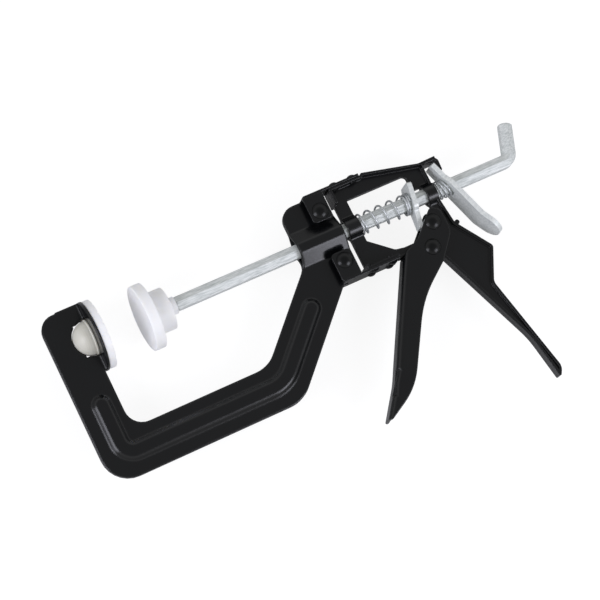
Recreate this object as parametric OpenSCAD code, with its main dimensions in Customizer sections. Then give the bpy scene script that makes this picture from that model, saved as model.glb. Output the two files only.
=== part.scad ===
// One-handed trigger clamp: a deep pressed C-frame whose hexagonal push rod is
// walked forward by a tilting drive plate and held by a sprung release lever.
// X runs along the rod from the fixed jaw to the hook, Y up to the hook side,
// Z square to the sheets.  The origin is where the rod axis meets the face of
// the fixed pad.  All sizes are in millimetres.

/* [Jaws] */
// Gap between the two pads as the clamp stands
jaw_gap = 24.2; // [10:0.1:70]
// Widest gap, with the pad's collar against the frame head
capacity = 102.5; // [90:0.5:140]
// Radius of the fixed pad
fixed_pad_r = 20.6; // [17:0.1:22]
// Thickness of the fixed pad
fixed_pad_t = 4.5; // [3:0.1:7]
// Radius of the moving pad
moving_pad_r = 19.8; // [15:0.1:22]
// Thickness of the moving pad at its rim
moving_pad_t = 6.4; // [5:0.1:9]
// Radius of the moving pad's hub
hub_r = 12.7; // [10:0.1:14]
// Length of the moving pad's hub
hub_len = 10.2; // [9:0.1:12]
// Height of the fixed pad's centre over the rod axis
pad_rise = 2; // [0:0.1:4]
// Spacing of the grooves across the fixed pad's face
groove_pitch = 6.5; // [4:0.1:9]
// Depth of the grooves
groove_depth = 0.7; // [0.3:0.1:1.2]
// Radius of the plug that holds the fixed pad
plug_r = 10.3; // [7:0.1:11]

/* [C-frame] */
// Thickness of the pressed sheets
sheet = 1.6; // [1.2:0.1:2]
// Distance of the frame's back edge behind the pad face
frame_back = 31.3; // [28:0.1:40]
// Width of the upright arm behind the fixed jaw
arm_width = 23.8; // [22:0.1:26]
// Height of the frame over the rod axis at the fixed jaw
jaw_top = 22.4; // [22:0.1:28]
// Throat depth, from the rod axis to the lower beam
throat = 55; // [45:0.5:80]
// Width of the lower beam
beam_width = 26.1; // [22:0.1:32]
// Width of the sloping arm
slope_width = 25.5; // [22:0.1:30]
// Drop from the rod axis to the top of the slope
head_notch = 9.5; // [9:0.1:12]
// Length of the frame head along the rod
head_len = 29.5; // [26:0.1:40]
// Half height of the frame head
head_half = 26.7; // [25:0.1:28]
// Drop of the head's middle below the rod axis
head_drop = 0.8; // [0:0.1:2]
// Radius of the jaw flange folded out of the frame
flange_r = 21; // [18:0.1:23]
// Half width of the ridge that the head forms over the rod
ridge_half = 10.8; // [10:0.1:10.9]
// Half width of the ridge's flat top
ridge_flat = 2.4; // [2.2:0.1:3]

/* [Stiffening bead] */
// Width of the pressed bead
bead_width = 12; // [8:0.1:13]
// Height of the bead over the sheet
bead_height = 2.5; // [1.5:0.1:3.5]
// Distance of the bead's middle from the outer edge
bead_inset = 13.5; // [12:0.1:15]
// Drop of the bead's upper end below the rod axis
bead_start = 36.2; // [28:0.1:40]
// Distance of the bead's other end below the foot of the head
bead_end = 6.5; // [3:0.1:9]

/* [Push rod] */
// Size of the hexagonal rod across its flats
rod_flats = 8; // [7:0.1:8.4]
// Length of the straight rod behind the pad's collar
rod_len = 218; // [214:0.5:240]
// Angle of the rod's hooked end
hook_angle = 70; // [50:1:80]
// Inside radius of the hook
hook_inner_r = 2; // [1:0.1:4]
// Length of the hook's straight leg
hook_leg = 18.3; // [12:0.1:26]
// Radius of the spigot that carries the swivel ball
spigot_r = 3; // [2.5:0.1:3.3]
// Radius of the swivel ball
ball_r = 7; // [6.6:0.1:7.6]
// Radius of the ball's collar
collar_r = 5.2; // [4.6:0.1:5.3]
// Length of the collar behind the hub
collar_len = 4.4; // [3:0.1:7]

/* [Gun body] */
// Gap between the frame head and the gun body
slit = 2.9; // [1.5:0.1:4]
// Depth of the long flanges each side of the middle
deep_rim = 7; // [5:0.1:7.2]
// Depth of the handle's rims each side of the middle
handle_rim = 3.5; // [2.5:0.1:5]
// Length of the front rod boss
boss_len = 8.3; // [7:0.1:10]
// Outside radius of the two rod bosses
boss_r = 6.5; // [6.3:0.1:6.9]
// Length of the rear rod boss
rear_boss_len = 6.5; // [5:0.1:7]
// Distance from the body's front edge to its rear wall face
body_len = 59.6; // [55:0.1:66]
// Drop from the rod axis to the handle's tip
handle_drop = 131.5; // [115:0.5:150]

/* [Brackets and rivets] */
// Outside width of the folded brackets
bracket_width = 15; // [14.4:0.1:17]
// Length of the bracket cheeks
cheek_len = 12.6; // [10:0.1:15]
// Distance of the cheeks from the end of the frame head
cheek_back = 1.8; // [0.5:0.1:3]
// Length of the strap past the cheeks
strap_len = 23; // [20:0.1:23]
// Distance of the cheek ends from the middle of the head
cheek_end = 10.3; // [10:0.1:13]
// Distance of the frame rivets from the middle of the head
frame_rivet_y = 16.2; // [14.8:0.1:18]
// Radius of the large domed rivet heads
big_head_r = 5; // [4:0.1:5.2]
// Radius of the large rivet shanks
big_shank_r = 2.5; // [2:0.1:2.8]
// Radius of the small strap rivet heads
small_head_r = 3; // [2.4:0.1:3.4]
// Radius of the small rivet shanks
small_shank_r = 1.5; // [1:0.1:1.8]

/* [Trigger] */
// Outside width of the folded trigger
trigger_width = 15; // [14:0.1:17]
// Distance of the trigger pivot ahead of the body's rear wall face
pivot_back = 18.5; // [18:0.1:19]
// Drop of the trigger pivot below the rod axis
pivot_drop = 30.7; // [30:0.1:32]
// Pusher rivet behind the trigger pivot
pusher_dx = 7.1; // [6.5:0.1:7.5]
// Pusher rivet above the trigger pivot
pusher_dy = 13.7; // [13:0.1:14.2]
// Outside radius of the fold along the trigger's front
fold_r = 3.4; // [1.8:0.1:3.6]

/* [Drive plate and release lever] */
// Thickness of the drive plate
plate_t = 2.8; // [2:0.1:3.2]
// Lean of the drive plate from square to the rod
plate_lean = 8.5; // [4:0.5:9]
// Width of the drive plate at the rod
plate_width = 16; // [13:0.1:18]
// Distance of the drive plate's front face ahead of the body's rear wall face
plate_back = 16.8; // [16.7:0.1:18]
// Thickness of the release lever
lever_t = 3; // [2.4:0.1:3.2]
// Lean of the release lever from square to the rod
lever_lean = 18.4; // [16:0.1:19]
// Width of the release lever's tail
lever_width = 18.4; // [15:0.1:22]
// Length of the lever from its pivot to the bend
lever_len = 40.5; // [34:0.1:46]
// Further bend of the lever's tail
tail_bend = 11.5; // [0:0.5:20]
// Length of the bent tail
tail_len = 15.5; // [12:0.1:20]

/* [Springs] */
// Outside diameter of the main spring
main_od = 13.4; // [12.8:0.1:14]
// Wire of the main spring
main_wire = 1.2; // [0.8:0.1:1.4]
// Open coils of the main spring
main_coils = 4; // [3:1:6]
// Outside diameter of the release spring
release_od = 11.8; // [11.6:0.1:12.4]
// Wire of the release spring
release_wire = 1; // [0.8:0.1:1.1]
// Coils of the release spring
release_coils = 3; // [2:1:3]

/* [Hidden] */
$fn = 64;
fit = 0.08;            // radial clearance of a pin in its bore
gap = 0.3;             // clearance between pieces that move past each other
lap = 0.3;             // overlap that joins two stretches of one piece
swell = 0.02;          // growth of the rod's corners round its bend
rod_corner = rod_flats / sqrt(3);
// Rod end and moving pad
hub_x = jaw_gap + moving_pad_t;
hub_end = hub_x + hub_len;
ball_x = hub_end - 5.3;
rod_x = hub_end + collar_len + gap;
pad_stack = moving_pad_t + hub_len + collar_len;
socket_r = ball_r + 0.15;
mouth_r = 6;
peen_r = spigot_r + 1;
peen_t = 1;
peen_x = ball_x - 5.3;
// Frame
head_x = capacity + pad_stack + gap;
head_end = head_x + head_len;
arm_x = arm_width - frame_back;
beam_y = -throat - beam_width;
top_y = head_half - head_drop;
low_y = -head_half - head_drop;
slope_c = head_x + head_notch;
slope_d = slope_c + slope_width * sqrt(2);
bead_d = slope_d - bead_inset * sqrt(2);
ridge_in = rod_corner + 1;
ridge_top = ridge_in + sheet;
// The inside of a bent sheet turns this much nearer the ridge's middle
ridge_bend = sheet * tan(atan2(ridge_in, ridge_half - ridge_flat) / 2);
slope_foot_r = 3;
hole_r = plug_r + gap;
// Gun body, measured from its front edge
gun_x = head_end + slit;
pivot_x = body_len - pivot_back;
plate_x = body_len - plate_back;
boss_in = rod_corner + gap;
rear_x = body_len - rear_boss_len;
window_end = body_len - 5.6;
window_top = 16.1;
step_x = plate_x + (plate_t + 1.65) / cos(plate_lean) + 0.3;
step_y = 5.8;
strap_end = strap_len - slit;
flange_end = strap_end + 0.9;
pocket_top = 16.9;
lever_x = body_len + 6.6;
lever_y = pocket_top - 2.1;
lever_slope = tan(lever_lean);
// Brackets and rivets
cheek_z = bracket_width / 2;
strap_t = 1.4;
dome = 0.46;           // height of a domed head as a share of its radius
cheek_x = head_end - cheek_back - cheek_len;
rivet_x = cheek_x + cheek_len / 2 + 0.4;
collar_wall = 0.9;
small_tail_r = small_head_r - 0.9;
strap_rivet_x = [sheet + gap + small_tail_r, strap_end - 4.2];
strap_rivet_z = (deep_rim + sheet) / 2 + 0.2;
// The bracket's fold is slotted over the foot of the slope, up to here
slot_end = slope_d + low_y + slope_foot_r * tan(22.5) + gap;
slot_half = sheet + gap;
// Trigger
trigger_z = trigger_width / 2;
inner_z = trigger_z - sheet;
pusher_x = pivot_x + pusher_dx;
pusher_y = pusher_dy - pivot_drop;
// Distance from the pusher rivet to the rear face of the drive plate
pusher_reach = (pusher_x - plate_x) * cos(plate_lean) - pusher_y * sin(plate_lean) - plate_t;
sleeve_r = pusher_reach - gap;
bush_r = big_shank_r + 1.5;

// ---- Outlines -------------------------------------------------------------

function unit(v) = v / norm(v);
function at(p) = [p.x, p.y];
// Points of the arc that rounds corner b, between its neighbours a and c
function corner(a, b, c, r, n = 7) =
    let (u = unit(a - b), v = unit(c - b), half = acos(u * v) / 2)
    let (reach = min(r / tan(half), 0.49 * min(norm(a - b), norm(c - b))))
    let (rr = reach * tan(half), centre = b + unit(u + v) * rr / sin(half))
    let (s = b + u * reach - centre, e = b + v * reach - centre)
    let (from = atan2(s.y, s.x), turn = atan2(s.x * e.y - s.y * e.x, s * e))
    [for (i = [0 : n]) centre + rr * [cos(from + turn * i / n), sin(from + turn * i / n)]];
// Outline of corners [x, y, radius], with each corner rounded
function rounded(pts) =
    let (m = len(pts))
    [for (i = [0 : m - 1])
        let (a = at(pts[(i + m - 1) % m]), b = at(pts[i]), c = at(pts[(i + 1) % m]))
        each (pts[i][2] > 0 ? corner(a, b, c, pts[i][2]) : [b])];
// The same corners moved inward by d, for an outline that runs anticlockwise
function inset(pts, d) =
    let (m = len(pts))
    [for (i = [0 : m - 1])
        let (a = at(pts[(i + m - 1) % m]), b = at(pts[i]), c = at(pts[(i + 1) % m]))
        let (e = unit(b - a), f = unit(c - b), n = [-e.y, e.x], k = [-f.y, f.x])
        let (p = b + (n + k) * d / (1 + n * k), r = pts[i][2] - sign(e.x * f.y - e.y * f.x) * d)
        [p.x, p.y, max(r, 0)]];

// ---- Shared shapes --------------------------------------------------------

// Cylinder along X from x0 to x1
module x_rod(x0, x1, r, r2 = -1) {
    translate([x0, 0, 0]) rotate([0, 90, 0]) cylinder(h = x1 - x0, r1 = r, r2 = r2 < 0 ? r : r2);
}
// Drawn in Y and Z, and carried along X from x0 to x1
module along_x(x0, x1) {
    translate([x0, 0, 0]) rotate([90, 0, 90]) linear_extrude(x1 - x0) children();
}
// Hexagonal bar along X, with flats above and below
module hex_bar(len, flats) {
    along_x(0, len) rotate(30) circle(r = flats / sqrt(3), $fn = 6);
}
// Domed head standing on the plane z = 0
module domed_head(r) {
    h = r * dome;
    ball = (r * r + h * h) / (2 * h);
    intersection() {
        translate([0, 0, h - ball]) sphere(ball);
        cylinder(h = h + 1, r = r);
    }
}
// Rivet along Z through plates between -z and z
module rivet(z, shank, head) {
    cylinder(h = 2 * z + 0.02, r = shank, center = true);
    for (m = [0, 1]) mirror([0, 0, m]) translate([0, 0, z]) domed_head(head);
}
// Cross-section of a half-round bulge on a sheet, with flared feet
function bulge(r, f, t) =
    let (y = sqrt((r + f) * (r + f) - (t + f) * (t + f)), a = atan2(t + f, -y))
    concat([[-y, 0]],
        [for (i = [0 : 5]) [-y, t + f] + f * [cos(-90 + (a - 90) * i / 5), sin(-90 + (a - 90) * i / 5)]],
        [for (i = [1 : 15]) r * [cos(a + (180 - 2 * a) * i / 16), sin(a + (180 - 2 * a) * i / 16)]],
        [for (i = [5 : -1 : 0]) [y, t + f] - f * [cos(-90 + (a - 90) * i / 5), -sin(-90 + (a - 90) * i / 5)]],
        [[y, 0]]);
module bulge_along_x(x0, x1, r, f) {
    along_x(x0, x1) polygon(bulge(r, f, sheet));
}
// Sweeps a symmetrical cross-section along corners [x, y, radius], with round ends
module sweep_path(path) {
    last = len(path) - 1;
    dirs = [for (i = [0 : last - 1])
        let (d = at(path[i + 1]) - at(path[i])) atan2(d.y, d.x)];
    turns = [for (i = [0 : last]) i == 0 || i == last ? 0 : dirs[i] - dirs[i - 1]];
    cuts = [for (i = [0 : last]) path[i][2] * tan(abs(turns[i]) / 2)];
    for (i = [0 : last - 1]) {
        u = [cos(dirs[i]), sin(dirs[i])];
        p = at(path[i]) + u * cuts[i];
        q = at(path[i + 1]) - u * cuts[i + 1];
        translate(p) rotate([90, 0, dirs[i] + 90]) linear_extrude(norm(q - p)) children();
        if (i > 0) {
            side = sign(turns[i]);
            centre = p + side * path[i][2] * [-u.y, u.x];
            first = side > 0 ? dirs[i - 1] - 90 : dirs[i] + 90;
            translate(centre) rotate(first) rotate_extrude(angle = abs(turns[i]))
                translate([path[i][2], 0]) children();
        }
    }
    for (e = [0, last])
        translate(at(path[e])) rotate(e == 0 ? dirs[0] + 90 : dirs[last - 1] - 90)
            rotate_extrude(angle = 180) intersection() {
                children();
                translate([0, -1]) square([bead_width, 4 * bead_height]);
            }
}
// Tube along centre points, closed at both ends
module tube(points, r, sides = 6) {
    n = len(points);
    rings = [for (i = [0 : n - 1])
        let (t = unit(points[min(i + 1, n - 1)] - points[max(i - 1, 0)]))
        let (out = unit([0, points[i].y, points[i].z]), a = unit(out - (out * t) * t), b = cross(t, a))
        for (k = [0 : sides - 1])
            points[i] + r * (cos(360 * k / sides) * a + sin(360 * k / sides) * b)];
    walls = [for (i = [0 : n - 2], k = [0 : sides - 1])
        let (a = i * sides + k, b = i * sides + (k + 1) % sides)
        each [[a, b, a + sides], [b, b + sides, a + sides]]];
    front = [for (k = [1 : sides - 2]) [0, k + 1, k]];
    back = [for (k = [1 : sides - 2]) [0, k, k + 1] + (n - 1) * sides * [1, 1, 1]];
    polyhedron(rings, [for (f = concat(walls, front, back)) [f[2], f[1], f[0]]]);
}
// Coil about the X axis.  Closed coils stand at each end; the last coil leans
// so that it lies flat on a face that leans by the given angle.  The wire starts
// at the angle phase about the axis.
function coil_points(len, mean_r, wire, open, shut_a, shut_b, lean, phase) =
    let (tight = wire + 0.5, turns = open + shut_a + shut_b)
    let (pitch = (len - (shut_a + shut_b) * tight) / open, steps = round(turns * 8))
    [for (i = [0 : steps])
        let (n = i / 8, a = 360 * n + phase, body_n = min(max(n - shut_a, 0), open))
        let (x = (n - body_n) * tight + body_n * pitch, y = mean_r * cos(a))
        [x - y * tan(lean) * x / len, y, mean_r * sin(a)]];
function least_gap(p, wire) =
    min([for (i = [0 : len(p) - 6], j = [i + 5 : len(p) - 1]) norm(p[i] - p[j])]) - wire;

// ---- C-frame --------------------------------------------------------------

function frame_outline() = [
    [-frame_back, beam_y, 16.5],
    [slope_d + beam_y, beam_y, 20],
    [slope_d + low_y, low_y, slope_foot_r],
    [head_end, low_y, 0.8],
    [head_end, top_y, 0.8],
    [head_x, top_y, 9],
    [head_x, -head_notch, 12],
    [slope_c - throat, -throat, 20],
    [arm_x, -throat, 10.5],
    [arm_x, jaw_top, 0],
    [-frame_back, jaw_top, 9.5]];
function bead_path() = [
    [bead_inset - frame_back, -bead_start, 0],
    [bead_inset - frame_back, beam_y + bead_inset, bead_width / 2 + 2],
    [bead_d + beam_y + bead_inset, beam_y + bead_inset, 20],
    [bead_d + low_y - bead_end, low_y - bead_end, 0]];
// The jaw plate, folded square out of the sheet and cut to a half disc
module jaw_fold() {
    face = -fixed_pad_t;
    depth = frame_back - arm_width + sheet + 6;
    intersection() {
        translate([0, 60, 0]) rotate([90, 0, 0]) linear_extrude(120) polygon(rounded([
            [face - depth, 0, 0],
            [face, 0, sheet + 1],
            [face, flange_r + 1, 0],
            [face - sheet, flange_r + 1, 0],
            [face - sheet, sheet, 1],
            [face - depth, sheet, 0]]));
        translate([0, pad_rise, 0]) x_rod(face - depth - 1, face + 1, flange_r);
    }
}
module frame_sheet() {
    slope = bead_width / 2 - 2.6;
    cut = 1;
    difference() {
        union() {
            linear_extrude(sheet) polygon(rounded(frame_outline()));
            jaw_fold();
            intersection() {
                linear_extrude(ridge_top + 1) polygon(rounded(frame_outline()));
                along_x(head_x - 3, head_end) polygon(rounded([
                    [-ridge_half - 3, 0, 0],
                    [-ridge_half - 3, sheet, 0],
                    [-ridge_half, sheet, 1.2],
                    [-ridge_flat, ridge_top, 2.5],
                    [ridge_flat, ridge_top, 2.5],
                    [ridge_half, sheet, 1.2],
                    [ridge_half + 3, sheet, 0],
                    [ridge_half + 3, 0, 0]]));
            }
            sweep_path(bead_path()) polygon([
                [-bead_width / 2, sheet - 0.4],
                [-bead_width / 2, sheet],
                [-slope - 0.5, sheet + bead_height - 0.5],
                [-slope + 0.5, sheet + bead_height],
                [slope - 0.5, sheet + bead_height],
                [slope + 0.5, sheet + bead_height - 0.5],
                [bead_width / 2, sheet],
                [bead_width / 2, sheet - 0.4]]);
        }
        sweep_path(bead_path()) polygon([
            [-bead_width / 2 + cut, -1],
            [-bead_width / 2 + cut, 0],
            [-slope + cut, bead_height],
            [slope - cut, bead_height],
            [bead_width / 2 - cut, 0],
            [bead_width / 2 - cut, -1]]);
        along_x(head_x - 4, head_end + 1) polygon([
            [-ridge_half + ridge_bend, -1],
            [-ridge_half + ridge_bend, 0],
            [-ridge_flat + ridge_bend, ridge_in],
            [ridge_flat - ridge_bend, ridge_in],
            [ridge_half - ridge_bend, 0],
            [ridge_half - ridge_bend, -1]]);
        // Round hole in the folded plate, and the window that clears the plug
        translate([0, pad_rise, 0]) {
            x_rod(-fixed_pad_t - sheet - 0.2, -fixed_pad_t + 1, hole_r);
            translate([-fixed_pad_t - 2, 0, 0]) cylinder(h = 4 * sheet, r = hole_r + 0.5, center = true);
            translate([-fixed_pad_t - 9.2, -hole_r + 0.6, -1])
                cube([9.2 - sheet, 2 * hole_r - 1.2, sheet + 1.5]);
        }
        about_head() for (s = [-1, 1])
            translate([rivet_x, s * frame_rivet_y, -1]) cylinder(h = 8, r = big_shank_r);
    }
}
// Moves what is drawn about the rod axis to the middle of the frame head
module about_head() {
    translate([0, -head_drop, 0]) children();
}
module c_frame_near() { color("#202122") frame_sheet(); }
module c_frame_far() { color("#202122") mirror([0, 0, 1]) frame_sheet(); }

// ---- Pads -----------------------------------------------------------------

// Grooves across a pad face, with a land through the middle
module grooves(r, depth) {
    n = ceil(r / groove_pitch);
    for (i = [-n : n - 1]) translate([0, (i + 0.5) * groove_pitch, 0]) {
        rotate([0, 0, 45]) cube([depth * sqrt(2), depth * sqrt(2), 3 * r], center = true);
    }
}
module fixed_pad() {
    color("#e4e4e8") difference() {
        translate([0, pad_rise, 0]) rotate([0, -90, 0]) rotate_extrude() polygon(rounded([
            [0, 0, 0],
            [fixed_pad_r, 0, 0.4],
            [fixed_pad_r, fixed_pad_t, 0.4],
            [0, fixed_pad_t, 0]]));
        grooves(fixed_pad_r, groove_depth);
        translate([0, pad_rise, 0]) x_rod(-fixed_pad_t - 1, -fixed_pad_t / 2, plug_r - 3);
    }
}
// Snap plug behind the fixed pad: a spigot in the pad, a lip behind the folded
// plate and a domed back
module fixed_pad_plug() {
    rim = fixed_pad_t + sheet;
    color("#e9e3d6") translate([0, pad_rise, 0]) rotate([0, -90, 0]) rotate_extrude() {
        polygon(concat(
            [[0, fixed_pad_t / 2], [plug_r - 3, fixed_pad_t / 2], [plug_r - 3, fixed_pad_t]],
            [[plug_r, fixed_pad_t], [plug_r, rim + 0.1], [plug_r + 0.6, rim + 0.2]],
            [[plug_r + 0.6, rim + 1], [plug_r, rim + 1.3]],
            [for (a = [0 : 7.5 : 90]) [plug_r * cos(a), rim + 1.3 + (plug_r - 0.35) * sin(a)]]));
    }
}
module moving_pad() {
    color("#e4e4e8") difference() {
        translate([jaw_gap, 0, 0]) rotate([0, 90, 0]) rotate_extrude() polygon(rounded([
            [0, 0, 0],
            [moving_pad_r, 0, 0.6],
            [moving_pad_r, moving_pad_t, 0.4],
            [0, moving_pad_t, 0]]));
        translate([ball_x, 0, 0]) sphere(socket_r);
        x_rod(hub_x - 1.5, hub_x + 1, hub_r - 2.5);
    }
}
module moving_pad_hub() {
    color("#e4e4e8") difference() {
        translate([hub_x, 0, 0]) rotate([0, 90, 0]) rotate_extrude() polygon(rounded([
            [0, -1.5, 0],
            [hub_r - 2.5, -1.5, 0],
            [hub_r - 2.5, 0, 0],
            [hub_r, 0, 0],
            [hub_r, hub_len, 0.5],
            [0, hub_len, 0]]));
        translate([ball_x, 0, 0]) sphere(socket_r);
        x_rod(hub_end - 2, hub_end + 1, mouth_r);
    }
}
module swivel_ball() {
    color("#e4e4e8") difference() {
        union() {
            translate([ball_x, 0, 0]) sphere(ball_r);
            x_rod(ball_x + 2, hub_end + collar_len, collar_r);
        }
        x_rod(ball_x - ball_r - 1, rod_x, spigot_r + fit);
        x_rod(ball_x - ball_r - 1, peen_x + peen_t + gap, peen_r + gap);
    }
}

// ---- Push rod -------------------------------------------------------------

module push_rod() {
    bend_r = hook_inner_r + rod_flats / 2;
    bend_x = rod_x + rod_len;
    seam = 15;  // turns the chamfers' start away from the rod's corners
    color("#c8cacb") {
        x_rod(peen_x, peen_x + peen_t, peen_r);
        x_rod(peen_x, rod_x + 1, spigot_r);
        intersection() {
            translate([rod_x, 0, 0]) hex_bar(rod_len + lap, rod_flats);
            rotate([seam, 0, 0]) {
                x_rod(rod_x, rod_x + 1, rod_flats / 2 - 0.2, rod_corner + 0.3);
                x_rod(rod_x + 1, bend_x + 1, rod_corner + 0.3);
            }
        }
        translate([bend_x, bend_r, 0]) {
            rotate(-90) rotate_extrude(angle = hook_angle) translate([bend_r, 0]) rotate(30)
                circle(r = rod_corner + swell, $fn = 6);
            rotate(hook_angle) translate([0, -bend_r, 0]) intersection() {
                translate([-lap, 0, 0]) hex_bar(hook_leg + lap, rod_flats);
                rotate([seam, 0, 0]) {
                    x_rod(-1, hook_leg - 1.2, rod_corner + 0.3);
                    x_rod(hook_leg - 1.2, hook_leg, rod_corner + 0.3, rod_flats / 2 - 0.6);
                }
            }
        }
    }
}

// ---- Gun body -------------------------------------------------------------

function body_outline() = [
    [0, low_y, 0.6],
    [flange_end, low_y, 0.3],
    [flange_end + 0.8, low_y - 1, 0.3],
    [flange_end + 6.4, low_y - 1, 2.5],
    [pivot_x - 8.8, -pivot_drop - 6.8, 5],
    [pivot_x + 4.7, -pivot_drop - 6.8, 4],
    [body_len + 11.8, 29.5 - handle_drop, 60],
    [body_len + 16.8, -handle_drop, 0.8],
    [body_len + 20.5, 6 - handle_drop, 7],
    [body_len + 6.8, -63.8, 6],
    [body_len + 16.8, -43.7, 2.5],
    [body_len + 1.9, -21.6, 0.6],
    [body_len, -4, 6],
    [body_len, pocket_top, 1.2],
    [body_len + 6.9, pocket_top, 0.6],
    [lever_x + 0.7 + 4.9 * lever_slope, lever_y - 4.7, 0.4],
    [body_len + 10.1, lever_y - 4.7, 0.6],
    [body_len + 10.6, pocket_top + 2.2, 3],
    [body_len - 3, pocket_top + 1.7, 8],
    [flange_end + 1, top_y + 1, 1],
    [flange_end, top_y, 0.3],
    [0, top_y, 0.6]];
function window_outline() = [
    [boss_len, window_top, 1],
    [boss_len, -10.8, 1],
    [boss_len + 13.3, -22.2, 4],
    [boss_len + 18.8, -23.2, 4],
    [window_end, -23.2, 4],
    [window_end, step_y, 0.6],
    [step_x, step_y, 0.8],
    [step_x, window_top, 2.5]];
// The outline without the lever's pocket and its hook, which are rimmed solid
function plain_outline() =
    let (o = body_outline())
    concat([for (i = [0 : 12]) o[i]], [[body_len, pocket_top + 1.75, 1.2]], [for (i = [19 : 21]) o[i]]);
module rim(height) {
    linear_extrude(height) difference() {
        polygon(rounded(body_outline()));
        polygon(rounded(inset(plain_outline(), sheet)));
    }
}
module body_shell() {
    difference() {
        union() {
            linear_extrude(sheet) polygon(rounded(body_outline()));
            // Handle, horn and rear wall rims
            difference() {
                rim(handle_rim);
                translate([-1, low_y + 3, sheet]) cube([sheet + 2, 2 * head_half - 6, 20]);
            }
            // Long flanges over the top and under the front
            intersection() {
                rim(deep_rim);
                union() {
                    translate([-1, pocket_top - 1, 0]) cube([body_len + 9, 30, 20]);
                    translate([-1, low_y - 1, 0]) cube([flange_end + 1, 4, 20]);
                }
            }
            bulge_along_x(0, boss_len, boss_r, 2);
            bulge_along_x(rear_x, body_len, boss_r, 2);
            // Small stop between the rear wall and the horn
            translate([body_len + 3.3, -22.3, 0]) cylinder(h = handle_rim, r = 1.5);
        }
        difference() {
            translate([0, 0, -1]) linear_extrude(deep_rim + 2) polygon(rounded(window_outline()));
            bulge_along_x(rear_x, body_len, boss_r, 2);
        }
        x_rod(-1, body_len + 1, boss_in);
        translate([pivot_x, -pivot_drop, -1]) cylinder(h = 9, r = bush_r);
        about_head() strap_rivet_shanks();
    }
}
module body_near() { color("#202122") translate([gun_x, 0, 0]) body_shell(); }
module body_far() { color("#202122") translate([gun_x, 0, 0]) mirror([0, 0, 1]) body_shell(); }

// ---- Brackets and rivets --------------------------------------------------

// Folded bracket over the frame head and the gun body: two cheeks and a strap
// that lies on the head's edge and on the body's flange
module bracket() {
    top = head_half + strap_t;
    difference() {
        union() {
            intersection() {
                translate([cheek_x, 0, 0]) rotate([90, 0, 90]) linear_extrude(cheek_len) difference() {
                    polygon(rounded([
                        [cheek_end - 1, -cheek_z, 0],
                        [top, -cheek_z, 2],
                        [top, cheek_z, 2],
                        [cheek_end - 1, cheek_z, 0]]));
                    polygon(rounded([
                        [cheek_end - 2, sheet - cheek_z, 0],
                        [head_half, sheet - cheek_z, 0.6],
                        [head_half, cheek_z - sheet, 0.6],
                        [cheek_end - 2, cheek_z - sheet, 0]]));
                }
                translate([0, 0, -20]) linear_extrude(40) polygon(rounded([
                    [cheek_x, cheek_end, 2.5],
                    [cheek_x + cheek_len, cheek_end, 2.5],
                    [cheek_x + cheek_len, top, 0],
                    [cheek_x, top, 1.5]]));
            }
            translate([cheek_x + 1, head_half, -cheek_z])
                cube([cheek_back + cheek_len - 1 + strap_len, strap_t, bracket_width]);
        }
        translate([cheek_x - 1, head_half - 0.4, -slot_half])
            cube([slot_end - cheek_x + 1, strap_t + 1, 2 * slot_half]);
        translate([rivet_x, frame_rivet_y, 0]) cylinder(h = 40, r = big_shank_r, center = true);
        translate([gun_x, 0, 0]) strap_rivet_shanks();
    }
}
module upper_bracket() { color("#202122") about_head() bracket(); }
module lower_bracket() { color("#202122") about_head() mirror([0, 1, 0]) bracket(); }
module frame_rivet(side) {
    color("#26272a") about_head() translate([rivet_x, side * frame_rivet_y, 0])
        rivet(cheek_z, big_shank_r, big_head_r);
}
module upper_frame_rivet() { frame_rivet(1); }
module lower_frame_rivet() { frame_rivet(-1); }
// Collars that space the bracket cheeks off the frame sheets
module frame_rivet_spacers() {
    color("#26272a") about_head() for (s = [-1, 1], m = [0, 1])
        translate([rivet_x, s * frame_rivet_y, 0]) mirror([0, 0, m]) difference() {
            translate([0, 0, sheet]) cylinder(h = cheek_z - 2 * sheet, r = big_shank_r + collar_wall);
            cylinder(h = cheek_z, r = big_shank_r);
        }
}
module strap_rivet_shanks() {
    for (s = [-1, 1], x = strap_rivet_x, z = [-1, 1])
        translate([x, s * head_half, z * strap_rivet_z]) rotate([90, 0, 0])
            cylinder(h = 8, r = small_shank_r, center = true);
}
module strap_rivets() {
    color("#26272a") for (x = strap_rivet_x, z = [-1, 1])
        translate([gun_x + x, head_half, z * strap_rivet_z]) {
            rotate([-90, 0, 0]) translate([0, 0, strap_t]) domed_head(small_head_r);
            translate([0, strap_t + 0.01, 0]) rotate([90, 0, 0])
                cylinder(h = strap_t + sheet + 0.02, r = small_shank_r);
            rotate([90, 0, 0]) translate([0, 0, sheet]) cylinder(h = 0.8, r = small_tail_r);
        }
}
module upper_strap_rivets() { about_head() strap_rivets(); }
module lower_strap_rivets() { about_head() mirror([0, 1, 0]) strap_rivets(); }

// ---- Trigger --------------------------------------------------------------

function trigger_outline() = [
    [pusher_x + 2.3, pusher_y + 8.9, 2.5],
    [pivot_x - 5.2, 8.6 - pivot_drop, 5],
    [pivot_x - 17.7, 2.8 - pivot_drop, 1.5],
    [pivot_x - 57, -93.9, 60],
    [pivot_x - 70.5, -111.8, 1.3],
    [pivot_x - 68.4, -112.6, 1.2],
    [pivot_x - 48, -101.6, 72],
    [pivot_x - 19.7, -56.8, 110],
    [pivot_x + 2.3, -9.9 - pivot_drop, 8],
    [pusher_x + 7.8, pusher_y - 9.1, 10],
    [pusher_x + 7.8, pusher_y + 5.4, 4.5]];
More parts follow.
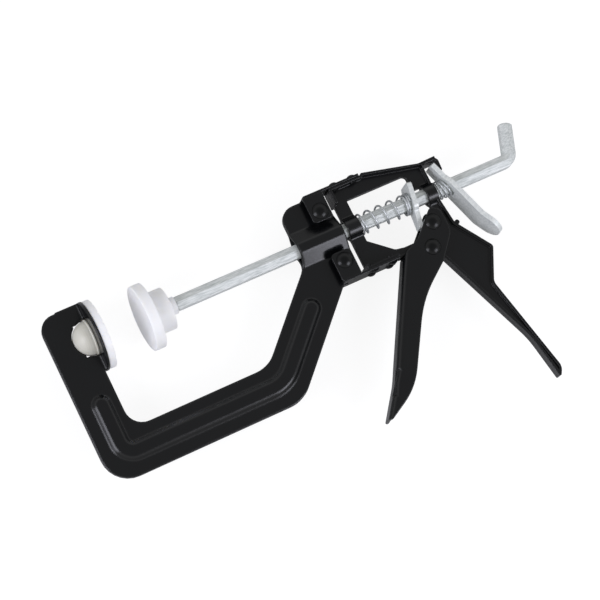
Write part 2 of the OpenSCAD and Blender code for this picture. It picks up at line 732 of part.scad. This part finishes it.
// Rounds the two long edges of the fold between corners p and q
module fold_edges(p, q) {
    d = q - p;
    for (m = [0, 1]) mirror([0, 0, m]) translate([p.x, p.y, trigger_z])
        rotate(atan2(d.y, d.x)) translate([-8, 0, 0]) rotate([90, 0, 90])
            linear_extrude(norm(d) + 16) difference() {
                translate([-1, -fold_r]) square(fold_r + 1);
                translate([fold_r, -fold_r]) circle(fold_r);
            }
}
module trigger() {
    o = trigger_outline();
    top = at(o[2]);
    knee = at(o[3]);
    toe = at(o[4]);
    // The inside of the fold: the front line moved in by one sheet
    inner = inset([[-200, 300, 0], [top.x, top.y, 0], [knee.x, knee.y, 0], [toe.x, toe.y, 0],
        [toe.x - 30, toe.y - 45, 0], [300, -300, 0]], sheet);
    shut = top.y - 1.2;
    u = unit(knee - top);
    start = at(inner[1]) + u * (1.2 / abs(u.y));
    color("#232426") translate([gun_x, 0, 0]) difference() {
        translate([0, 0, -trigger_z]) linear_extrude(trigger_width) polygon(rounded(o));
        translate([0, 0, -inner_z]) linear_extrude(2 * inner_z) polygon([
            [start.x - 12, 20],
            [start.x - 12, shut],
            [start.x, shut],
            at(inner[2]),
            at(inner[3]),
            at(inner[4]),
            [120, toe.y - 45],
            [120, 20]]);
        fold_edges(top, knee);
        fold_edges(knee, toe);
        translate([pivot_x, -pivot_drop, 0]) cylinder(h = 40, r = big_shank_r, center = true);
        translate([pusher_x, pusher_y, 0]) cylinder(h = 40, r = big_shank_r, center = true);
    }
}
module pivot_bush() {
    color("#8d9194") translate([gun_x + pivot_x, -pivot_drop, 0]) difference() {
        cylinder(h = 2 * (inner_z - gap), r = bush_r, center = true);
        cylinder(h = 40, r = big_shank_r + fit, center = true);
    }
}
module trigger_pivot_rivet() {
    color("#26272a") translate([gun_x + pivot_x, -pivot_drop, 0]) rivet(trigger_z, big_shank_r, big_head_r);
}
module pusher_rivet() {
    color("#26272a") translate([gun_x + pusher_x, pusher_y, 0]) rivet(trigger_z, big_shank_r, big_head_r);
}
module pusher_sleeve() {
    color("#8d9194") translate([gun_x + pusher_x, pusher_y, 0]) difference() {
        cylinder(h = 2 * inner_z, r = sleeve_r, center = true);
        cylinder(h = 40, r = big_shank_r, center = true);
    }
}

// ---- Drive plate, release lever and springs -------------------------------

// Hexagonal opening for the rod, stretched along its first axis by extra
module rod_opening(extra) {
    c = rod_corner + gap;
    f = rod_flats / 2 + gap;
    polygon([
        [f + extra, -c / 2],
        [f + extra, c / 2],
        [extra, c],
        [-extra, c],
        [-f - extra, c / 2],
        [-f - extra, -c / 2],
        [-extra, -c],
        [extra, -c]]);
}
module drive_plate() {
    w = plate_width / 2;
    slack = (plate_t * sin(plate_lean) + rod_flats * (1 - cos(plate_lean))) / 2 / cos(plate_lean);
    shift = plate_t / 2 * tan(plate_lean);
    color("#c3c7ca") translate([gun_x + plate_x, 0, 0]) rotate(-90 - plate_lean) rotate([-90, 0, 0])
        linear_extrude(plate_t) difference() {
            polygon(rounded([
                [-11, -w, 2],
                [-11, w, 2],
                [4.6, w, 3],
                [6.2, 5, 1.5],
                [17.2, 3.5, 1],
                [17.2, -3.5, 1],
                [6.2, -5, 1.5],
                [4.6, -w, 3]]));
            translate([-shift, 0]) rod_opening(slack);
        }
}
module main_spring() {
    r = (main_od - main_wire) / 2;
    p = coil_points(plate_x - boss_len - main_wire - 0.5, r, main_wire, main_coils, 1, 2, -plate_lean, 180);
    echo("main spring, least gap between coils", least_gap(p, main_wire));
    color("#d4d7d9") translate([gun_x + boss_len + main_wire / 2 + 0.1, 0, 0]) tube(p, main_wire / 2);
}
module release_lever() {
    w = lever_width / 2;
    top_w = w - 3.2;
    rod_u = lever_y / cos(lever_lean);
    slack = (lever_t * tan(lever_lean) + rod_flats * (1 / cos(lever_lean) - 1)) / 2 + 0.45;
    shift = lever_t / 2 * tan(lever_lean);
    color("#afb4b8") translate([gun_x + lever_x, lever_y, 0]) rotate(lever_lean - 90) {
        rotate([90, 0, 0]) linear_extrude(lever_t) difference() {
            polygon(rounded([
                [-1, -top_w, 1],
                [rod_u - 6.5, -top_w, 3],
                [rod_u - 1, -w, 3],
                [lever_len, -w, 0],
                [lever_len, w, 0],
                [rod_u - 1, w, 3],
                [rod_u - 6.5, top_w, 3],
                [-1, top_w, 1]]));
            translate([rod_u - shift, 0]) rod_opening(slack);
        }
        // The tail, turned further out by a sector about its inner edge
        translate([lever_len, 0, 0]) {
            rotate(-90) translate([0, 0, -w]) linear_extrude(lever_width)
                polygon(concat([[0, 0]], [for (i = [0 : 4])
                    lever_t * [cos(-tail_bend * i / 4), sin(tail_bend * i / 4)]]));
            rotate(tail_bend) rotate([90, 0, 0]) linear_extrude(lever_t) polygon(concat(
                [[0, w], [0, -w]],
                [for (a = [-90 : 10 : 90]) [tail_len - w + w * cos(a), w * sin(a)]]));
        }
    }
}
module release_spring() {
    r = (release_od - release_wire) / 2;
    room = lever_x + lever_y * lever_slope - lever_t / cos(lever_lean) - body_len;
    p = coil_points(room - release_wire * 1.1 - 0.4, r, release_wire, release_coils, 0, 0, lever_lean, 0);
    echo("release spring, least gap between coils", least_gap(p, release_wire));
    color("#d4d7d9") translate([gun_x + body_len + release_wire / 2 + 0.15, 0, 0]) tube(p, release_wire / 2);
}

c_frame_near();
c_frame_far();
fixed_pad();
fixed_pad_plug();
upper_bracket();
lower_bracket();
upper_frame_rivet();
lower_frame_rivet();
frame_rivet_spacers();
upper_strap_rivets();
lower_strap_rivets();
body_near();
body_far();
push_rod();
swivel_ball();
moving_pad();
moving_pad_hub();
drive_plate();
main_spring();
release_lever();
release_spring();
trigger();
pivot_bush();
trigger_pivot_rivet();
pusher_rivet();
pusher_sleeve();
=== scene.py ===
# %% [markdown]
# # A one-handed trigger clamp
#
# This lesson dresses a clamp that was built as separate solids: a deep pressed C-frame, a
# hexagonal push rod, two round pads, a gun body with its trigger, drive plate and release
# lever, and two springs.  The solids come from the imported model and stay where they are.
# Blender adds the finishes, two finely wound springs, the lamps, the floor and the camera.

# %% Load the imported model
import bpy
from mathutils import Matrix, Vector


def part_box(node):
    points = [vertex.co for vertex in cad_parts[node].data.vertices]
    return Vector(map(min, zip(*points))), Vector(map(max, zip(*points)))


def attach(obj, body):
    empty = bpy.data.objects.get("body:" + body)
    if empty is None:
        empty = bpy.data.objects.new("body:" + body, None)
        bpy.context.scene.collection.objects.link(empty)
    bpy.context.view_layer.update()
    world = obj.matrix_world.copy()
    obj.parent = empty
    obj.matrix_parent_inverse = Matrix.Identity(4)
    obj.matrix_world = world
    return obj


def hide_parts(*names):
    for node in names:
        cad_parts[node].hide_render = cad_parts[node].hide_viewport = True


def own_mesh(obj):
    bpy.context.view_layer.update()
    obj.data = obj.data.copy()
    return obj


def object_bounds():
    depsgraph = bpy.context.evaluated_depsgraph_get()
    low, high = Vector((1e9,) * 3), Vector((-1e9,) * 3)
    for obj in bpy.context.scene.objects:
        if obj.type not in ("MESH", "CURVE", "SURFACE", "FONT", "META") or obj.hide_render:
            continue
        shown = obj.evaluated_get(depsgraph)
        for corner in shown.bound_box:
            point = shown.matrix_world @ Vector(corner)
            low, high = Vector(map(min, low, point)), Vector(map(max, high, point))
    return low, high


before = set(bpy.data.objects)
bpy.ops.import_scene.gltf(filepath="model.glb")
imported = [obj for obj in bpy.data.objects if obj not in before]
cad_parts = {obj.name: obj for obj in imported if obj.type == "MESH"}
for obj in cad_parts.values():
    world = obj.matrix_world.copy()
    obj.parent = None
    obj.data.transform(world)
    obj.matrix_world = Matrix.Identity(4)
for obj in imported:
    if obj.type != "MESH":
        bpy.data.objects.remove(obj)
cad_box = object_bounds()

# %% [markdown]
# ## Modules and units
#
# Blender measures this scene in metres, and a toolmaker thinks in millimetres.  One name
# for a millimetre keeps the clamp's own sizes readable.

# %% Modules and units
import math
import bmesh
import bpy
from mathutils import Matrix, Vector

MM = 0.001
scene = bpy.context.scene
print("units: 1 mm is", MM, "m")

# %% [markdown]
# ## The camera
#
# A long lens far away keeps the clamp's proportions true.  The camera could be turned by
# hand, but a few plain facts fix it better: what it looks at, from which side, from how far,
# and by how much it is rolled about its own line of sight.  The matrix is built from those.

# %% Camera
LOOKS_AT = Vector((112.8, -26.6, 0)) * MM
SEEN_FROM = Vector((-0.26, -0.165, 0.9514)).normalized()
DISTANCE = 1200 * MM
ROLL = math.radians(-26.349)
LENS = 124.7         # focal length, which Blender wants in millimetres
SENSOR = 36          # width of the sensor behind it, in millimetres too

right = (-SEEN_FROM).cross(Vector((0, 1, 0))).normalized()
above = right.cross(-SEEN_FROM)
rolled_right = math.cos(ROLL) * right + math.sin(ROLL) * above
rolled_above = math.cos(ROLL) * above - math.sin(ROLL) * right
turn = Matrix((rolled_right, rolled_above, SEEN_FROM)).transposed().to_4x4()

camera_data = bpy.data.cameras.new("camera")
camera_data.lens = LENS
camera_data.sensor_width = SENSOR
camera = bpy.data.objects.new("camera", camera_data)
scene.collection.objects.link(camera)
camera.matrix_world = Matrix.Translation(LOOKS_AT + SEEN_FROM * DISTANCE) @ turn
scene.camera = camera
print("camera at", [round(v, 3) for v in camera.matrix_world.translation])

# %% [markdown]
# ## Colours and nodes
#
# Colours are written as the hex values that a paint chart gives.  Those are sRGB, and a
# shader computes with linear light, so one function turns one into the other.  A second
# function adds a node to a material: its settings are the node's own choices, and its
# inputs are either numbers or the sockets that feed them.

# %% Helpers for materials
def linear(hex_colour):
    """A hex colour as linear red, green, blue and alpha.  The sRGB curve is a straight line
    near black and a power above it."""
    parts = [int(hex_colour[i:i + 2], 16) / 255 for i in (1, 3, 5)]
    return [p / 12.92 if p <= 0.04045 else ((p + 0.055) / 1.055) ** 2.4 for p in parts] + [1]


def add(tree, kind, inputs=None, **settings):
    """Adds a shader node with its settings and links, and returns it."""
    made = tree.nodes.new("ShaderNode" + kind)
    for name, value in settings.items():
        setattr(made, name, value)
    for name, value in (inputs or {}).items():
        if isinstance(value, bpy.types.NodeSocket):
            tree.links.new(value, made.inputs[name])
        else:
            made.inputs[name].default_value = value
    return made


def new_material(name, **values):
    """A material with one Principled shader whose sockets have these values."""
    material = bpy.data.materials.new(name)
    material.use_nodes = True
    shader = material.node_tree.nodes["Principled BSDF"]
    for socket, value in values.items():
        shader.inputs[socket.replace("_", " ")].default_value = value
    return material, material.node_tree, shader


ENAMEL_BLACK = "#0B0C0E"
print("black enamel in linear light:", [round(v, 4) for v in linear(ENAMEL_BLACK)])

# %% [markdown]
# ## A surface that isn't the same all over
#
# Every finish on the clamp gets its roughness from a noise, so that it shines a little more
# here and a little less there, and a fine relief from a bump.  No edge on it is perfectly
# sharp either, and a rounded edge catches a thin line of light.  A bevel modifier could round
# the edges, but the solids' meshes stay as they are, so the shader's Bevel node rounds them
# for the light only.  One function gives a finish all three.

# %% Roughness, edges and relief
NOISE_LOW, NOISE_HIGH = 0.3, 0.7     # nearly all of a noise lies between these two


def make_uneven(tree, shader, patches, roughness, height, depth, edge, samples):
    """Spreads roughness from one value to another by the patches, rounds the edges by a
    radius, and raises the surface by the height up to a depth."""
    dull = add(tree, "MapRange", {
        "Value": patches.outputs["Fac"], "From Min": NOISE_LOW, "From Max": NOISE_HIGH,
        "To Min": roughness[0], "To Max": roughness[1]})
    edges = add(tree, "Bevel", {"Radius": edge}, samples=samples)
    bump = add(tree, "Bump", {"Height": height.outputs["Fac"], "Distance": depth, "Strength": 1,
                              "Normal": edges.outputs["Normal"]})
    tree.links.new(dull.outputs["Result"], shader.inputs["Roughness"])
    tree.links.new(bump.outputs["Normal"], shader.inputs["Normal"])


print("a noise is read from", NOISE_LOW, "to", NOISE_HIGH)

# %% [markdown]
# ## Black stoving enamel
#
# The pressings are steel, sprayed with a thin black enamel and stoved.  It gives the eye a
# deep black with soft, slightly wavy reflections, the orange peel that spraying leaves.  The
# frame's bead and ridge come from a press tool with large radii, and the trigger from a
# bending tool, so their edges are rounder.  Rivet heads show less orange peel, and a lower
# specular level keeps their domes dark.

# %% Black enamel
PEEL = 2.2 * MM      # distance between the waves of the orange peel
PEEL_DEPTH = 0.012 * MM
RIVET_DEPTH = 0.008 * MM
CLOUD = 30 * MM      # size of the patches where the enamel lies a little duller
EDGE = 0.8 * MM      # radius of a painted edge
FOLD = 1.6 * MM      # radius that a bending tool leaves in a folded sheet
PRESSED = 2 * MM     # radius that a press tool leaves on a bead or ridge


def black_enamel(name, colour, specular, roughness, peel_depth, edge):
    """Sprayed enamel: cloudy roughness, and waves of orange peel in its relief."""
    material, tree, shader = new_material(name, Base_Color=linear(colour),
                                          Specular_IOR_Level=specular)
    place = add(tree, "TexCoord").outputs["Object"]
    clouds = add(tree, "TexNoise", {"Vector": place, "Scale": 1 / CLOUD, "Detail": 3})
    waves = add(tree, "TexNoise", {"Vector": place, "Scale": 1 / PEEL, "Detail": 2})
    make_uneven(tree, shader, clouds, (roughness - 0.03, roughness + 0.05),
                waves, peel_depth, edge, samples=8)
    return material


enamel = black_enamel("black_stoving_enamel", ENAMEL_BLACK, 0.42, 0.24, PEEL_DEPTH, EDGE)
frame_enamel = black_enamel("black_frame_enamel", ENAMEL_BLACK, 0.42, 0.21, PEEL_DEPTH, PRESSED)
# The trigger's black is a little darker than the body's. That darker black is painted shade,
# standing in for the trigger's faces that turn away from the light.
trigger_enamel_with_painted_shade = black_enamel("black_trigger_enamel", "#090A0C", 0.42, 0.26, PEEL_DEPTH, FOLD)
rivet_enamel = black_enamel("black_rivet_enamel", "#08090A", 0.26, 0.24, RIVET_DEPTH, EDGE / 2)
for made in (enamel, frame_enamel, trigger_enamel_with_painted_shade, rivet_enamel):
    print("enamel:", made.name)

# %% [markdown]
# ## Zinc-plated steel
#
# The rod, the drive plate, the lever and the springs are plated with bright zinc.  Zinc on
# drawn bar shows fine lines along the bar and small grey patches where the plating took a
# little differently.  Stamped parts are tumbled first, so their patches have no direction.
# Stretching the noise along X by a Mapping node gives the drawn lines.  Plate on unpolished
# steel scatters much of its light, so its metallic value stays well below 1, while the
# spring wire, which is drawn through a die, mirrors more.

# %% Zinc plate
METAL_EDGE = 0.3 * MM        # radius of an edge that was tumbled or drawn
DARK_END, BRIGHT_END = 0.32, 0.62    # where in the noise the two tints are reached


def zinc(name, bright, dark, metallic, roughness, patch, stretch, depth):
    """Zinc plate with bright and dark patches of a size, stretched along the bar."""
    material, tree, shader = new_material(name, Metallic=metallic)
    place = add(tree, "TexCoord").outputs["Object"]
    drawn = add(tree, "Mapping", {"Vector": place, "Scale": (1 / stretch, 1, 1)})
    spots = add(tree, "TexNoise", {"Vector": drawn.outputs["Vector"], "Scale": 1 / patch,
                                   "Detail": 6, "Roughness": 0.62})
    tint = add(tree, "ValToRGB", {"Fac": spots.outputs["Fac"]})
    ends = zip(tint.color_ramp.elements, (DARK_END, BRIGHT_END), (dark, bright))
    for end, position, colour in ends:
        end.position = position
        end.color = linear(colour)
    tree.links.new(tint.outputs["Color"], shader.inputs["Base Color"])
    make_uneven(tree, shader, spots, (roughness + 0.1, roughness - 0.05),
                spots, depth, METAL_EDGE, samples=6)
    return material


FINE, DRAWN = 0.01 * MM, 0.02 * MM   # depths of the relief on tumbled and on drawn steel
rod_zinc = zinc("zinc_plated_drawn_bar", "#E3E6E5", "#B9BFBE", 0.25, 0.6, 0.8 * MM, 8, DRAWN)
plate_zinc = zinc("zinc_plated_stamping", "#F0F3F2", "#D6DBDB", 0.3, 0.4, 1.4 * MM, 1, FINE)
wire_zinc = zinc("zinc_plated_spring_wire", "#CFD2D4", "#B0B4B7", 0.6, 0.3, 0.9 * MM, 1, FINE)
bare_steel = zinc("turned_steel", "#A9ACAF", "#8B8F93", 0.6, 0.35, 1.2 * MM, 1, FINE)
print("metals:", rod_zinc.name, plate_zinc.name, wire_zinc.name, bare_steel.name)

# %% [markdown]
# ## Moulded plastic
#
# The pads are moulded in white polyethylene and the plug in a warmer ivory.  Both are waxy:
# light goes in a little way before it comes out, so edges glow and shadows stay soft.
# Subsurface light does that, with a reach of a millimetre or two.

# %% Plastics
FLOW = 9 * MM        # size of the patches that the melt left as it filled the mould
GRAIN = 0.7 * MM     # size of the grain that the mould left
GRAIN_DEPTH = 0.01 * MM
MOULDED_EDGE = 0.3 * MM


def moulded(name, colour, roughness, reach):
    """A waxy plastic in which light travels as far as reach, red a little farther than blue."""
    material, tree, shader = new_material(
        name, Base_Color=linear(colour), IOR=1.5, Subsurface_Weight=0.55,
        Subsurface_Radius=(1, 0.95, 0.85), Subsurface_Scale=reach)
    place = add(tree, "TexCoord").outputs["Object"]
    flow = add(tree, "TexNoise", {"Vector": place, "Scale": 1 / FLOW, "Detail": 4})
    grain = add(tree, "TexNoise", {"Vector": place, "Scale": 1 / GRAIN, "Detail": 2})
    make_uneven(tree, shader, flow, (roughness - 0.05, roughness + 0.08),
                grain, GRAIN_DEPTH, MOULDED_EDGE, samples=6)
    return material


pad_plastic = moulded("white_polyethylene", "#F6F6F8", 0.42, 2 * MM)
ivory_plastic = moulded("ivory_polyethylene", "#D4D2C8", 0.4, 1.5 * MM)
print("plastics:", pad_plastic.name, ivory_plastic.name)

# %% [markdown]
# ## Which piece has which finish
#
# A solid keeps its mesh, and only its material slots are filled.  That could be done one
# solid at a time.  A table from each finish to the solids that have it does it in one place,
# and shows what the clamp is made of.

# %% Finishes on the solids
FINISHES = {
    frame_enamel: ["c_frame_near", "c_frame_far"],
    enamel: ["upper_bracket", "lower_bracket", "body_near", "body_far"],
    trigger_enamel_with_painted_shade: ["trigger"],
    rivet_enamel: ["upper_frame_rivet", "lower_frame_rivet", "frame_rivet_spacers",
                   "upper_strap_rivets", "lower_strap_rivets", "trigger_pivot_rivet",
                   "pusher_rivet"],
    rod_zinc: ["push_rod"],
    plate_zinc: ["drive_plate", "release_lever"],
    bare_steel: ["pivot_bush", "pusher_sleeve"],
    pad_plastic: ["fixed_pad", "moving_pad", "moving_pad_hub", "swivel_ball"],
    ivory_plastic: ["fixed_pad_plug"],
}
for material, names in FINISHES.items():
    for name in names:
        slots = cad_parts[name].data.materials
        slots.clear()
        slots.append(material)
print("solids with a finish:", sum(len(names) for names in FINISHES.values()))

# %% [markdown]
# ## Winding the wire
#
# A spring is one wire wound round a mandrel.  A curve with a bevel could draw it, but
# spinning a ring of points about the mandrel, while pushing it along, is what the winding
# machine does.  A spring is wound in stages: closed coils at each end and open coils between.
# Every stage spins the ring that the one before it ended on.  The ring is capped, so each
# stage leaves a cap inside the wire.  Points that two stages share are merged, and only the
# first and the last cap are kept.

# %% A function that winds the wire
SIDES = 16           # points round the wire
STEPS = 40           # steps in each coil
Z_AXIS = (0, 0, 1)
CENTRE = (0, 0, 0)


def wound_wire(radius, wire, stages):
    """Wire wound about the Z axis.  A stage is its number of coils and the rise of one coil."""
    bm = bmesh.new()
    ring = bmesh.ops.create_circle(bm, segments=SIDES, radius=wire / 2, cap_ends=True)["verts"]
    bmesh.ops.translate(bm, verts=ring, vec=(radius, 0, 0))
    bmesh.ops.rotate(bm, verts=ring, cent=CENTRE, matrix=Matrix.Rotation(math.pi / 2, 3, "X"))
    profile = list(bm.verts) + list(bm.edges) + list(bm.faces)
    for coils, rise in stages:
        if coils:
            steps = round(coils * STEPS)
            spun = bmesh.ops.spin(bm, geom=profile, cent=CENTRE, axis=Z_AXIS, steps=steps,
                                  angle=2 * math.pi * coils, dvec=(0, 0, rise * coils / steps))
            profile = spun["geom_last"]
    bmesh.ops.remove_doubles(bm, verts=bm.verts, dist=wire / 1000)
    inner_caps = [f for f in bm.faces if len(f.verts) == SIDES][1:-1]
    bmesh.ops.delete(bm, geom=inner_caps, context="FACES_ONLY")
    return bm


print("wire has", SIDES, "sides and", STEPS, "steps in each coil")

# %% [markdown]
# ## Laying a spring along the rod
#
# The winding stands upright, as on a mandrel in a vice.  It is turned to its starting angle,
# laid along the rod and pushed to its place.  A real spring seldom presses square, so the
# coils lean a little more with every step away from the fixed end.

# %% A function that makes a spring
CLOSED_COIL = 1.04   # rise of a closed coil, in diameters of the wire


def wind(name, start_x, length, outside, wire, coils, lean, start_angle):
    """Winds a spring about the X axis.  coils holds how many coils are closed at its start,
    open, and closed at its end."""
    closed = wire * CLOSED_COIL
    first, free, last = coils
    pitch = (length - wire - (first + last) * closed) / free
    bm = wound_wire((outside - wire) / 2, wire, ((first, closed), (free, pitch), (last, closed)))
    for angle, axis in ((start_angle, "Z"), (math.pi / 2, "Y")):
        bmesh.ops.rotate(bm, verts=bm.verts, cent=CENTRE, matrix=Matrix.Rotation(angle, 3, axis))
    bmesh.ops.translate(bm, verts=bm.verts, vec=(start_x + wire / 2, 0, 0))
    for v in bm.verts:
        along = (v.co.x - start_x) / length
        v.co.x -= v.co.y * math.tan(lean) * along
    bmesh.ops.recalc_face_normals(bm, faces=bm.faces)
    for f in bm.faces:
        f.smooth = len(f.verts) == 4     # the wire is smooth, and its cut ends are flat
    mesh = bpy.data.meshes.new(name)
    bm.to_mesh(mesh)
    bm.free()
    mesh.materials.append(wire_zinc)
    spring = bpy.data.objects.new(name, mesh)
    scene.collection.objects.link(spring)
    print(name, "has", len(mesh.polygons), "faces")
    return spring


# %% [markdown]
# ## The main spring
#
# It pushes the drive plate back after each stroke.  It has one closed coil against the boss
# and two against the plate.  It fills the space that its solid gives it,
# and rides on the frame.

# %% Main spring
low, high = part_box("main_spring")
MAIN_WIRE = 1.2 * MM
MAIN_COILS = (1, 4, 2)
MAIN_LEAN = math.radians(-8.5)
main_spring = wind("main_spring_wound", low.x, high.x - low.x, high.z - low.z, MAIN_WIRE,
                   MAIN_COILS, MAIN_LEAN, math.pi)
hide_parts("main_spring")
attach(main_spring, "frame")
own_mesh(main_spring)
print("main spring from", round(low.x / MM, 1), "to", round(high.x / MM, 1), "mm")

# %% [markdown]
# ## The release spring
#
# It is short and open, and keeps the release lever tilted so that its hole grips the rod.
# It leans with the lever.

# %% Release spring
low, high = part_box("release_spring")
RELEASE_WIRE = 1 * MM
RELEASE_COILS = (0, 3, 0)
RELEASE_LEAN = math.radians(18.4)
release_spring = wind("release_spring_wound", low.x, high.x - low.x, high.z - low.z,
                      RELEASE_WIRE, RELEASE_COILS, RELEASE_LEAN, 0)
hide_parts("release_spring")
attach(release_spring, "frame")
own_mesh(release_spring)
print("release spring from", round(low.x / MM, 1), "to", round(high.x / MM, 1), "mm")

# %% [markdown]
# ## The table
#
# The clamp lies on a white table, which is one large flat face just under it.

# %% Table
TABLE_SIZE = 8       # in metres, so that its edge is far out of sight
GAP = 0.2 * MM       # between the clamp's lowest point and the table
table_level = cad_box[0].z - GAP
bm = bmesh.new()
bmesh.ops.create_grid(bm, x_segments=1, y_segments=1, size=TABLE_SIZE / 2)
bmesh.ops.translate(bm, verts=bm.verts, vec=(0, 0, table_level))
mesh = bpy.data.meshes.new("floor")
bm.to_mesh(mesh)
bm.free()
floor = bpy.data.objects.new("floor", mesh)
scene.collection.objects.link(floor)
print("table", round(table_level / MM, 1), "mm below the rod axis")

# %% [markdown]
# ## White table paint
#
# White paint gives back about four fifths of the light, which a camera shows as pale grey.
# The table has to read as white and still take the clamp's soft shadow.  More lamp light
# would bleach the clamp.  Instead the paint is drawn partly as a plain glow for the camera
# and for mirror-like surfaces, and the rest of the way as paint, which takes the shadow.
# Other light sees only plain white paint.

# %% Table paint
PLAIN_PAINT = 0.8
CAMERA_PAINT, CAMERA_GLOW = 0.22, 0.86
MIRROR_PAINT, MIRROR_GLOW = 0.5, 0.05


def grey(level):
    """A grey that gives back this part of the light."""
    return level, level, level, 1


WHITE = grey(1)
white_paint = bpy.data.materials.new("white_table_paint")
white_paint.use_nodes = True
tree = white_paint.node_tree
tree.nodes.clear()
path = add(tree, "LightPath").outputs
shiny = add(tree, "Math", {0: path["Is Glossy Ray"], 1: path["Is Transmission Ray"]},
            operation="MAXIMUM")
plain = add(tree, "BsdfDiffuse", {"Color": grey(PLAIN_PAINT)})
camera_paint = add(tree, "BsdfDiffuse", {"Color": grey(CAMERA_PAINT)})
camera_glow = add(tree, "Emission", {"Color": WHITE, "Strength": CAMERA_GLOW})
mirror_paint = add(tree, "BsdfDiffuse", {"Color": grey(MIRROR_PAINT)})
mirror_glow = add(tree, "Emission", {"Color": WHITE, "Strength": MIRROR_GLOW})
for_camera = add(tree, "AddShader", {0: camera_paint.outputs[0], 1: camera_glow.outputs[0]})
for_mirrors = add(tree, "AddShader", {0: mirror_paint.outputs[0], 1: mirror_glow.outputs[0]})
without_camera = add(tree, "MixShader", {0: shiny.outputs[0], 1: plain.outputs[0],
                                         2: for_mirrors.outputs[0]})
surface = add(tree, "MixShader", {0: path["Is Camera Ray"], 1: without_camera.outputs[0],
                                  2: for_camera.outputs[0]})
add(tree, "OutputMaterial", {"Surface": surface.outputs[0]})
floor.data.materials.append(white_paint)
print("table paint:", white_paint.name)

# %% [markdown]
# ## The room
#
# The room is a pale tent.  Its top and its foot stay dim, and a ring between them is lit.
# The flat black faces mirror the dim top, so they stay black, and the ring lights the metal
# and the plastics from all sides.  How high a point of the tent is comes from the direction
# in which it is seen, from 0 at the horizon to 1 straight above.  Only the camera sees a
# plain white backdrop in place of the tent.

# %% Room
FOOT_LIGHT, RING_LIGHT, TOP_LIGHT = 0.4, 0.8, 0.35
FOOT_ENDS, RING_STARTS = 0.2, 0.36
RING_ENDS, TOP_STARTS = 0.58, 0.85

world = bpy.data.worlds.new("tent")
scene.world = world
world.use_nodes = True
tree = world.node_tree
tree.nodes.clear()
direction = add(tree, "TexCoord").outputs["Generated"]
height = add(tree, "SeparateXYZ", {"Vector": direction}).outputs["Z"]
lower = add(tree, "MapRange", {"Value": height, "From Min": FOOT_ENDS, "From Max": RING_STARTS,
                               "To Min": FOOT_LIGHT, "To Max": RING_LIGHT})
upper = add(tree, "MapRange", {"Value": height, "From Min": RING_ENDS, "From Max": TOP_STARTS,
                               "To Min": RING_LIGHT, "To Max": TOP_LIGHT})
wall = add(tree, "Math", {0: lower.outputs[0], 1: upper.outputs[0]}, operation="MINIMUM")
path = add(tree, "LightPath").outputs
tent = add(tree, "Background", {"Color": WHITE, "Strength": wall.outputs[0]})
backdrop = add(tree, "Background", {"Color": WHITE, "Strength": 1})
surface = add(tree, "MixShader", {0: path["Is Camera Ray"], 1: tent.outputs[0],
                                  2: backdrop.outputs[0]})
add(tree, "OutputWorld", {"Surface": surface.outputs[0]})
scene.view_settings.view_transform = "Standard"
print("room light at the foot, in the ring and at the top:", FOOT_LIGHT, RING_LIGHT, TOP_LIGHT)

# %% [markdown]
# ## Lamps
#
# Two softboxes stand at the sides of the table.  A sloping black face mirrors one of them
# where it tips just far enough, which is how the eye reads the pressed ridge and bead.
# Their places are given as seen by the camera, in metres: to the right, above, and towards
# it.  Their light is slightly cool, as a studio flash is.

# %% Lamps
LAMP_COLOUR = (0.88, 0.89, 1)
LAMP_POWER = 4.2     # watts


def softbox(name, place, width, height):
    """A soft rectangular lamp that stands at a place seen by the camera and faces the clamp."""
    data = bpy.data.lights.new(name, "AREA")
    data.shape = "RECTANGLE"
    data.size = width
    data.size_y = height
    data.energy = LAMP_POWER
    data.color = LAMP_COLOUR
    lamp = bpy.data.objects.new(name, data)
    scene.collection.objects.link(lamp)
    offset = turn.to_3x3() @ Vector(place)
    facing = offset.to_track_quat("Z", "Y").to_matrix().to_4x4()
    lamp.matrix_world = Matrix.Translation(LOOKS_AT + offset) @ facing
    return lamp


lamps = [
    softbox("right_softbox", (0.84, -0.25, 0.64), 0.5, 0.45),
    softbox("left_softbox", (-0.66, -0.23, 0.7), 0.45, 0.6),
]
print("lamps:", [lamp.name for lamp in lamps])
